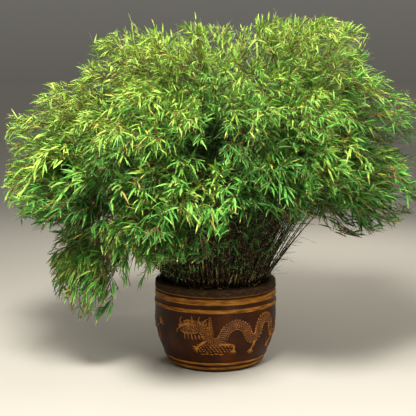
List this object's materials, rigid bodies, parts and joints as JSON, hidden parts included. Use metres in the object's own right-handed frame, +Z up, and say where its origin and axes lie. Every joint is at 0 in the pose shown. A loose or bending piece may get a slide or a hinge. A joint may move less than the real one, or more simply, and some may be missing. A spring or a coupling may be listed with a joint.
{
  "type": "potted bamboo",
  "caption": "Clumping bamboo with a broad arching crown, in a wide round glazed pot banded in ochre, for a patio or garden",
  "frame": {"origin": "centre of the pot's flat foot, on the surface that it stands on", "axes": "+Z up, +X to the viewer's right and -Y towards the viewer of the pot's front"},
  "size_m": [2.3436, 2.0993, 1.9268],
  "materials": {
    "pot_glaze": "satin",
    "ochre_slip": "satin",
    "potting_soil": "matte",
    "bamboo_cane": "satin",
    "bamboo_leaf": "matte"
  },
  "bodies": {
    "root": {"cane_clump": "bamboo_cane", "culm_shoulder_1": "bamboo_cane", "culm_shoulder_2": "bamboo_cane", "culm_shoulder_3": "bamboo_cane", "culm_shoulder_4": "bamboo_cane", "culm_shoulder_5": "bamboo_cane", "culm_shoulder_6": "bamboo_cane", "culm_shoulder_7": "bamboo_cane", "culm_skirt_1": "bamboo_cane", "culm_skirt_2": "bamboo_cane", "culm_skirt_3": "bamboo_cane", "culm_skirt_4": "bamboo_cane", "culm_skirt_5": "bamboo_cane", "culm_skirt_6": "bamboo_cane", "culm_skirt_7": "bamboo_cane", "culm_skirt_8": "bamboo_cane", "culm_top_1": "bamboo_cane", "culm_top_2": "bamboo_cane", "culm_top_3": "bamboo_cane", "culm_top_4": "bamboo_cane", "culm_top_5": "bamboo_cane", "culm_weeping_1": "bamboo_cane", "culm_weeping_2": "bamboo_cane", "culm_weeping_3": "bamboo_cane", "culm_weeping_4": "bamboo_cane", "dragon_back": "ochre_slip", "dragon_front": "ochre_slip", "leaves_shoulder_1": "bamboo_leaf", "leaves_shoulder_2": "bamboo_leaf", "leaves_shoulder_3": "bamboo_leaf", "leaves_shoulder_4": "bamboo_leaf", "leaves_shoulder_5": "bamboo_leaf", "leaves_shoulder_6": "bamboo_leaf", "leaves_shoulder_7": "bamboo_leaf", "leaves_skirt_1": "bamboo_leaf", "leaves_skirt_2": "bamboo_leaf", "leaves_skirt_3": "bamboo_leaf", "leaves_skirt_4": "bamboo_leaf", "leaves_skirt_5": "bamboo_leaf", "leaves_skirt_6": "bamboo_leaf", "leaves_skirt_7": "bamboo_leaf", "leaves_skirt_8": "bamboo_leaf", "leaves_top_1": "bamboo_leaf", "leaves_top_2": "bamboo_leaf", "leaves_top_3": "bamboo_leaf", "leaves_top_4": "bamboo_leaf", "leaves_top_5": "bamboo_leaf", "leaves_weeping_1": "bamboo_leaf", "leaves_weeping_2": "bamboo_leaf", "leaves_weeping_3": "bamboo_leaf", "leaves_weeping_4": "bamboo_leaf", "pot": "pot_glaze", "root_ball": "potting_soil"}
  },
  "joints": []
}
